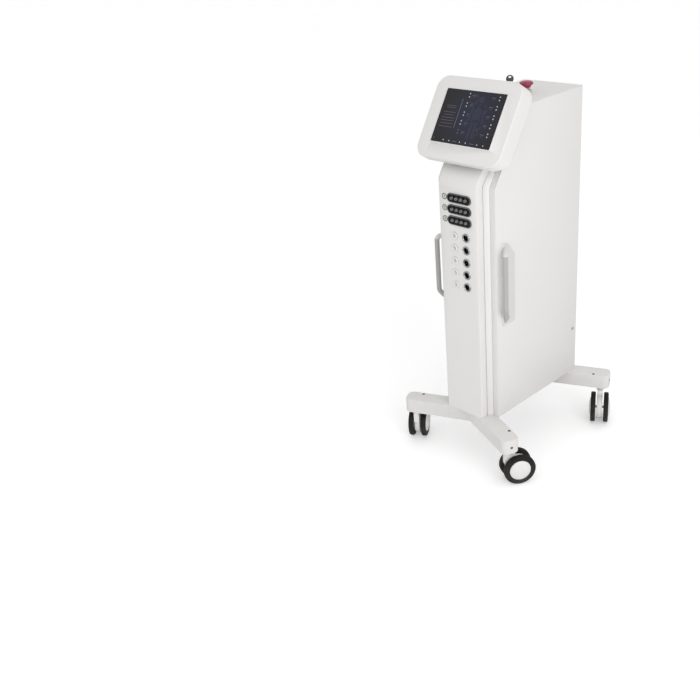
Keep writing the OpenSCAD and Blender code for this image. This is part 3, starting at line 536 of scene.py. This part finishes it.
def bar(u, v, wide, high, material, spin=0.0):
    """A thin tile, its size in mm."""
    part = box((-wide / 2, -high / 2, 0), (wide / 2, high / 2, TILE))
    gather(screen, part, spot(u, v) @ Matrix.Rotation(math.radians(spin), 4, "Z"), material)


def arrow(u, v, size, upward, material=BRIGHT):
    """A thin triangular tile that points up or down."""
    part = bmesh.new()
    bmesh.ops.create_cone(part, cap_ends=True, segments=3, radius1=size * MM, radius2=size * MM,
                          depth=TILE * MM, matrix=Matrix.Translation((0, 0, TILE / 2 * MM)))
    gather(screen, part, spot(u, v) @ Matrix.Rotation(math.radians(0 if upward else 180), 4, "Z"), material)


def disc(u, v, radius, material, inner=0.0):
    """A thin round tile, or a ring where inner is given."""
    if inner:
        part = turned([(inner, 0), (radius, 0), (radius, TILE), (inner, TILE)], 36, ring=True)
    else:
        part = turned([(0, 0), (radius, 0), (radius, TILE), (0, TILE)], 36)
    gather(screen, part, spot(u, v), material)


ROWS = ((0.31, 33), (0.345, 30), (0.43, 42), (0.48, 34), (0.535, 47), (0.585, 47), (0.64, 44), (0.70, 50))
for v, wide in ROWS:
    bar(0.165, v, wide, 1.5, ROW)
bar(0.315, 0.435, 1.3, 84, LINE)
PAIRS = ((0.058, 0.118), (0.23, 0.288), (0.4, 0.457), (0.562, 0.622), (0.729, 0.785))
for upper, lower in PAIRS:
    for u, label in ((0.405, 0.487), (0.895, 0.805)):
        ink = GREEN if upper > 0.7 and u < 0.5 else BRIGHT
        arrow(u, upper, 2.7, True, ink)
        arrow(u, lower, 2.7, False, ink)
        bar(label, (upper + lower) / 2, 13, 1.4, LABEL)
        bar(label, (upper + lower) / 2 + 0.035, 9, 0.9, ROW)
for u in (0.21, 0.49, 0.78):
    arrow(u, 0.945, 2.6, True)
    arrow(u + 0.1, 0.945, 2.6, False)
for u in (0.4, 0.69):
    bar(u, 0.945, 15, 1.5, LABEL)
bar(0.04, 0.945, 4, 1.2, LABEL, 45)
bar(0.04, 0.925, 4, 1.2, LABEL, -45)
for u, v, spin in ((0.735, 0.36, 50), (0.56, 0.3, -50), (0.72, 0.66, 35)):
    bar(u, v, 16, 0.6, LABEL, spin)

# %% A simple figure between the arrow columns
disc(0.62, 0.145, 9, FIGURE)
bar(0.62, 0.24, 6, 8, FIGURE)
bar(0.62, 0.4, 26, 44, FIGURE)
for way in (-1, 1):
    bar(0.62 + way * 0.105, 0.4, 7, 52, FIGURE, way * 10)
    bar(0.62 + way * 0.035, 0.69, 10, 52, FIGURE, way * 2)
    disc(0.62 + way * 0.062, 0.285, 6.5, FIGURE)
disc(0.5, 0.145, 13.6, ROW, inner=12.9)
disc(0.69, 0.742, 8, ROW, inner=7.4)
bmesh.ops.recalc_face_normals(screen, faces=screen.faces)
tiles = new_piece("screen_controls", screen, TILES, "machine")
print("screen tiles' faces:", len(tiles.data.polygons))

# %% [markdown]
# ## Air sockets
# Three long black plates each hold four air outlets. A plate has a raised rim, and an
# outlet is a grey spigot in a shallow collar, open down its middle. Beside each plate
# is a round badge with a plain number.

# %% Plates and spigots
FRONT = -220
AIR_ROWS = [862 - 33 * row for row in range(3)]


def on_front(x, z):
    """A place on the fascia's face, with local Z pointing at the user."""
    return at(x, FRONT, z, 90)


plates = soften("air_socket_plates", 0.6, socket_black, only=lambda p: p.y < -0.22, steps=2)
# The rim's top is painted a lighter grey: a painted highlight along each black plate's raised edge.
painted_rim_highlight = finish("painted_rim_highlight", (112, 112, 114), rough=0.3, tone=0.1, grain=1600, bump=0.15, depth=0.02)
plates.data.materials.append(painted_rim_highlight)
RIM_FACE = -0.2227
for face in plates.data.polygons:
    if face.center.y < RIM_FACE:
        face.material_index = 1
NOZZLES = [(5.5 + (n - 1.5) * 16.8, z) for z in AIR_ROWS for n in range(4)]
SPIGOT = [(1.9, -34), (2.9, -34), (2.9, -14), (5, -14), (5, 0.9), (4, 1.3), (4, 5.6), (3.7, 6.6), (3.1, 7),
          (2.3, 6.8), (1.9, 6.2)]
COLLAR = [(5.1, 0.98), (6.6, 0.98), (6.6, 1.7), (6.1, 2.1), (5.4, 2.1), (5.1, 1.8)]
spigots = bmesh.new()
collars = bmesh.new()
for x, z in NOZZLES:
    gather(spigots, turned(SPIGOT, 32, ring=True), on_front(x, z))
    gather(collars, turned(COLLAR, 32, ring=True), on_front(x, z))
spigot_grey = finish("spigot_grey", (128, 128, 130), rough=0.16, tone=0.05, grain=1500, bump=0.1, depth=0.02)
new_piece("air_nozzles_shaped", spigots, [spigot_grey], "machine", ("air_nozzles",))
new_piece("nozzle_collars", collars, [socket_black], "machine")
print("outlets:", len(NOZZLES))

# %% Number badges
badge_white = finish("badge_white", (204, 203, 202), tone=0.03, bump=0.05, depth=0.01)
badge_ink = finish("badge_ink", (58, 58, 60), rough=0.45, tone=0.05, bump=0.05, depth=0.01)
badges = bmesh.new()
for row, z in enumerate(AIR_ROWS):
    here = on_front(-48.5, z)
    gather(badges, turned([(0, 0), (9.5, 0), (9.5, 0.45), (9.2, 0.6), (0, 0.6)], 40), here, 0)
    gather(badges, turned([(7.2, 0.55), (8.9, 0.55), (8.9, 0.8), (7.2, 0.8)], 40, ring=True), here, 1)
    letter = bpy.data.curves.new("digit", "FONT")
    letter.body = str(row + 1)
    letter.size = 11 * MM
    letter.extrude = 0.12 * MM
    letter.align_x, letter.align_y = "CENTER", "CENTER"
    holder = bpy.data.objects.new("digit", letter)
    bpy.context.scene.collection.objects.link(holder)
    bpy.context.view_layer.update()
    flat = bpy.data.meshes.new_from_object(holder.evaluated_get(bpy.context.evaluated_depsgraph_get()))
    part = bmesh.new()
    part.from_mesh(flat)
    bmesh.ops.remove_doubles(part, verts=part.verts, dist=1e-7)
    gather(badges, part, here @ Matrix.Translation((0, 0, 0.68 * MM)), 1)
    bpy.data.objects.remove(holder)
    bpy.data.curves.remove(letter)
    bpy.data.meshes.remove(flat)
new_piece("number_badges_shaped", badges, [badge_white, badge_ink], "machine", ("number_badges",))
print("badges: 3")

# %% [markdown]
# ## Round sockets
# Five black sockets sit in bright flanges, and five white caps stand beside them, each
# with a small hole for a lead. All are spun, with the edges rounded in the outline.

# %% Infrared and stimulation sockets
JACKS = [750.5 - 38.1 * n for n in range(5)]
RING = [(8.5, -1), (10.7, -1), (10.7, 0), (13.5, 0), (13.5, 1.2), (13.1, 1.8), (12.4, 2.2), (12, 1.5),
        (11.6, 2.3), (10.9, 2.6), (10.4, 2.3), (10.1, 1.6), (9.8, 2.2), (9.2, 2.3), (8.8, 1.8), (8.5, 1)]
CORE = [(0, -22), (10.7, -22), (10.7, -1.1), (8.5, -1.1), (8.5, -9), (3, -9), (2.4, -6), (0, -6)]
CAP = [(0, -16), (7, -16), (7, 0), (10.2, 0), (10.2, 2.6), (9.9, 3.6), (9.1, 4.5), (8.1, 4.8), (7.2, 4.6),
       (6.6, 4), (6.3, 2.4), (3.2, 2.4), (2.6, 2.6), (2, 2.2), (2, -3), (0, -3)]
rings, cores, caps = bmesh.new(), bmesh.new(), bmesh.new()
for z in JACKS:
    gather(rings, turned(RING, 48, ring=True), on_front(27, z))
    gather(cores, turned(CORE, 48), on_front(27, z))
    for n in range(5):
        angle = math.radians(72 * n)
        pin = turned([(0, -9.5), (0.8, -9.5), (0.8, -4), (0.5, -3.4), (0, -3.2)], 12)
        reach = Vector((5.4 * math.cos(angle), 5.4 * math.sin(angle), 0)) * MM
        gather(cores, pin, on_front(27, z) @ Matrix.Translation(reach), 1)
    gather(caps, turned(CAP, 48), on_front(-14.7, z))
    # Two darker bands, one on the recessed face and one on the side wall under the rim, are painted shade
    # that draws each cap's shaded crescent.
    for inner, outer, low, high in ((2.8, 6.2, 2.3, 2.5), (10.1, 10.3, 0.3, 2.4)):
        band = turned([(inner, low), (outer, low), (outer, high), (inner, high)], 48, ring=True)
        gather(caps, band, on_front(-14.7, z), 1)
ring_steel = finish("ring_steel", (176, 177, 180), rough=0.26, spread=0.08, tone=0.05, grain=800, bump=0.08,
                    depth=0.02, Metallic=1.0)
new_piece("infrared_rings_shaped", rings, [ring_steel], "machine", ("infrared_rings",))
new_piece("infrared_cores_shaped", cores, [socket_black, zinc_steel], "machine", ("infrared_cores",))
painted_cap_shade = finish("painted_cap_shade", (192, 194, 184), rough=0.35, tone=0.04, bump=0.1, depth=0.02)
new_piece("stimulation_sockets_shaped", caps, [satin_white, painted_cap_shade], "machine", ("stimulation_sockets",))
print("round sockets:", 2 * len(JACKS))

# %% [markdown]
# ## Switches on the top panel
# A key switch with its key in it, and an emergency stop. The stop's red head flares
# out over its collar, and its edge is fluted so that it can be gripped and twisted.

# %% Key switch and key
TOP = 1097
KEY_AT, STOP_AT = (-42, 71, TOP), (16, 71, TOP)
key_grey = finish("key_grey", (62, 62, 60), rough=0.2, tone=0.1, grain=1500, bump=0.1, depth=0.02)
soften("key", 0.7, key_grey, only=lambda p: p.z > 1.102, steps=3)
lock = turned([(6.05, -30), (9.5, -30), (9.5, 0), (11, 0), (11, 2.6), (10.6, 3.6), (9.6, 4.4), (8.2, 4.5),
               (7.4, 4.1), (6.05, 4.1)], 48, ring=True)
bm = bmesh.new()
gather(bm, lock, at(*KEY_AT))
new_piece("key_switch_shaped", bm, [polished], "machine", ("key_switch",))

# %% Emergency stop
bm = bmesh.new()
gather(bm, turned([(7.05, -34), (11, -34), (11, 0), (15, 0), (15, 7.4), (14.6, 8.6), (13.6, 9.5), (12.4, 9.5),
                   (11.8, 9), (7.05, 9)], 48, ring=True), at(*STOP_AT))
new_piece("estop_base_shaped", bm, [grip_grey], "machine", ("estop_base",))
mushroom = turned([(0, 17.5), (9.5, 17.5), (9.5, 15), (12.5, 15), (13.5, 18), (15.5, 21.5), (18.6, 23.5),
                   (19.8, 24.4), (20, 25.4), (20, 27.4), (19.6, 28.8), (18.6, 30), (16.4, 31.4), (12.6, 32.7),
                   (7, 33.7), (3, 34), (0, 34)], 96)
for vert in mushroom.verts:
    reach = math.hypot(vert.co.x, vert.co.y) / MM
    if reach > 17 and 23 < vert.co.z / MM < 29.5:
        flute = 1 - 0.016 * (0.5 + 0.5 * math.cos(24 * math.atan2(vert.co.y, vert.co.x)))
        vert.co.x *= flute
        vert.co.y *= flute
bm = bmesh.new()
gather(bm, mushroom, at(*STOP_AT))
new_piece("estop_head_shaped", bm, [stop_red], "stop_button", ("estop_head",), 30)
dress(zinc_steel, "estop_plunger")
print("stop button's top at", TOP + 34, "mm")

# %% [markdown]
# ## The rear panel's fittings
# The back has a ring grille with a fan behind it, a slotted vent, a mains inlet and a
# rocker switch. The fan's blades are thin bent sheets, turned round its hub.

# %% Fan rotor
BACK = 220
HUB = at(0, BACK - 2, 985, 90)
BLADE_LONG, BLADE_WIDE, BLADES = 25, 17, 7
rotor = bmesh.new()
gather(rotor, turned([(0, 3.5), (16.2, 3.5), (17, 4.3), (17, 20.5), (15.6, 20.5), (15.6, 5), (0, 5)], 48),
       HUB)
for n in range(BLADES):
    blade = bmesh.new()
    bmesh.ops.create_grid(blade, x_segments=8, y_segments=5, size=0.5,
                          matrix=Matrix.Diagonal((BLADE_LONG * MM, BLADE_WIDE * MM, 1, 1)))
    for vert in blade.verts:
        out = vert.co.x / (BLADE_LONG * MM) + 0.5
        slope = math.radians(46 - 18 * out)
        chord = vert.co.y
        bow = 9 * chord * chord
        vert.co = ((16.4 + out * BLADE_LONG) * MM, chord * math.cos(slope), chord * math.sin(slope) + bow)
    bmesh.ops.solidify(blade, geom=blade.faces[:], thickness=1.3 * MM)
    bmesh.ops.recalc_face_normals(blade, faces=blade.faces)
    gather(rotor, blade, HUB @ Matrix.Rotation(math.tau * n / BLADES, 4, "Z")
           @ Matrix.Translation((0, 0, 12 * MM)))
new_piece("fan_rotor_shaped", rotor, [socket_black], "fan_rotor", ("fan_rotor",))
dress(socket_black, "fan_frame")

# %% Mains inlet and rocker
soften("power_inlet", 0.5, socket_black, only=lambda p: p.y > 0.2195 and (
    abs(p.x + 0.042) > 0.0235 or abs(p.z - 0.232) > 0.0105))
soften("power_switch_frame", 0.5, socket_black, only=lambda p: p.y > 0.2195)
soften("power_rocker", 0.5, stop_red, only=lambda p: p.y > 0.2195, steps=3)
pins = bmesh.new()
for x, z in ((-49, 234), (-42, 230), (-35, 234)):
    gather(pins, box((x - 1.1, 203.9, z - 2.1), (x + 1.1, 216.2, z + 2.1), 0.3))
new_piece("inlet_pins", pins, [polished], "machine")

# %% [markdown]
# ## Screws
# A pan-head screw is spun, and a dark cross on its top stands for the recess.

# %% Panel and leg screws
def screw(bm, place, radius, height, material=0):
    """A domed screw head with a cross recess, its seat at the place."""
    dome = [(0, 0), (radius, 0), (radius, height * 0.4), (radius * 0.9, height * 0.75),
            (radius * 0.6, height), (0, height)]
    gather(bm, turned(dome, 24), place, material)
    for spin in (0, 90):
        half, thin = radius * 0.5, radius * 0.1
        slit = box((-half, -thin, height - 0.2), (half, thin, height + 0.03))
        gather(bm, slit, place @ Matrix.Rotation(math.radians(spin), 4, "Z"), 1)


bm = bmesh.new()
for sx in (-1, 1):
    for z in (190, 250, 335, 480, 625, 770, 915, 1060):
        screw(bm, at(sx * 93, BACK, z, -90), 3.6, 2.0)
    side = Matrix.Translation((sx * 0.104, 0.201, 0.32)) @ Matrix.Rotation(sx * math.pi / 2, 4, "Y")
    screw(bm, side, 5.5, 2.2, 2)
new_piece("panel_screws_shaped", bm, [chassis_grey, soft_rubber, grip_grey], "machine", ("panel_screws",))
bm = bmesh.new()
for sx in (-1, 1):
    for sy in (-1, 1):
        leg = at(0, sy * BEAM_Y, 0, 0, sy * LEG_ANGLE if sx > 0 else 180 - sy * LEG_ANGLE)
        screw(bm, leg @ Matrix.Translation(Vector((SWIVEL_AT - 21, -19 * sx * sy, 164)) * MM), 4.6, 1.0)
        tip = leg @ Matrix.Translation(Vector((233, 0, 138)) * MM)
        screw(bm, tip @ Matrix.Rotation(math.pi / 2, 4, "Y"), 4.2, 1.0)
        screw(bm, at(sx * 60, sy * BEAM_Y, 166), 6.5, 6.3)
new_piece("leg_bolts_shaped", bm, [chassis_grey, soft_rubber], "machine", ("leg_bolts",))
print("screws: 30")

# %% [markdown]
# ## Inside the column
# The pump, valves, hoses and power supply are out of sight, and keep their CAD shapes.

# %% Dress the inner pieces
dress(cast_alloy, "air_pump", "valve_manifold")
dress(soft_rubber, "pump_feet", "air_hoses")
dress(socket_black, "solenoid_valves")
dress(zinc_steel, "power_supply")

# %% [markdown]
# ## Floor and light
# A wide pale floor and an even white surround, with one large soft lamp on the right
# and a weaker low one in front, which lightens the shadow under the head. The surround
# looks pure white to the camera and in reflections, but lights the machine at a lower
# level, so that white paint keeps its tone and doesn't clip. The floor is a little
# brighter to the camera than it is to the machine, and keeps its shadow.

# %% Floor
floor_mesh = bmesh.new()
bmesh.ops.create_grid(floor_mesh, x_segments=1, y_segments=1, size=40)
mesh = bpy.data.meshes.new("floor")
floor_mesh.to_mesh(mesh)
floor_mesh.free()
floor = bpy.data.objects.new("floor", mesh)
bpy.context.scene.collection.objects.link(floor)
floor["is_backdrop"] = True
paper = bpy.data.materials.new("floor_paper")
paper.use_nodes = True
tree = paper.node_tree
shader = tree.nodes["Principled BSDF"]
shader.inputs["Roughness"].default_value = 0.9
shader.inputs["Specular IOR Level"].default_value = 0.1
fibre = add_node(tree, "TexNoise", Scale=40.0, Detail=3.0)
tree.links.new(add_node(tree, "TexCoord").outputs["Object"], fibre.inputs["Vector"])
white = add_node(tree, "Mix", data_type="RGBA")
white.inputs[6].default_value = (0.9, 0.9, 0.9, 1)
white.inputs[7].default_value = (0.93, 0.93, 0.93, 1)
tree.links.new(fibre.outputs["Fac"], white.inputs["Factor"])
tree.links.new(white.outputs[2], shader.inputs["Base Color"])
seen = add_node(tree, "LightPath").outputs["Is Camera Ray"]
shader.inputs["Emission Color"].default_value = (1, 1, 1, 1)
tree.links.new(math_node(tree, "MULTIPLY", seen, 0.3), shader.inputs["Emission Strength"])
mesh.materials.append(paper)

# %% World and lamps
world = bpy.data.worlds.new("white_studio")
bpy.context.scene.world = world
world.use_nodes = True
tree = world.node_tree
tree.nodes.clear()
path = add_node(tree, "LightPath")
seen = math_node(tree, "MAXIMUM", path.outputs["Is Camera Ray"], path.outputs["Is Glossy Ray"])
seen = math_node(tree, "MAXIMUM", seen, path.outputs["Is Transmission Ray"])
lighting = add_node(tree, "Background", Strength=0.75)
showing = add_node(tree, "Background", Strength=1.0)
for node in (lighting, showing):
    node.inputs["Color"].default_value = (1, 1, 1, 1)
choose = add_node(tree, "MixShader")
tree.links.new(seen, choose.inputs["Fac"])
tree.links.new(lighting.outputs[0], choose.inputs[1])
tree.links.new(showing.outputs[0], choose.inputs[2])
tree.links.new(choose.outputs[0], add_node(tree, "OutputWorld").inputs["Surface"])


def lamp(name, place, size, power):
    """A square soft lamp that faces the middle of the machine."""
    light = bpy.data.lights.new(name, "AREA")
    light.size = size
    light.energy = power
    holder = bpy.data.objects.new(name, light)
    bpy.context.scene.collection.objects.link(holder)
    aim = Vector((0, 0, 0.65)) - Vector(place)
    holder.matrix_world = Matrix.Translation(place) @ aim.to_track_quat("-Z", "Y").to_matrix().to_4x4()


lamp("right_lamp", (2.75, -1.3, 1.75), 2.2, 33)
lamp("low_lamp", (0.7, -3.2, 0.4), 1.8, 8)

# %% [markdown]
# ## Finish
# The dressed model's box is printed. The dressed model has to stay in the CAD box.

# %% Set the view transform and print the dressed model's box
view = bpy.context.scene.view_settings
view.view_transform = "Standard"
low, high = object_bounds()
print("visual box", [round(v, 4) for v in low], [round(v, 4) for v in high])
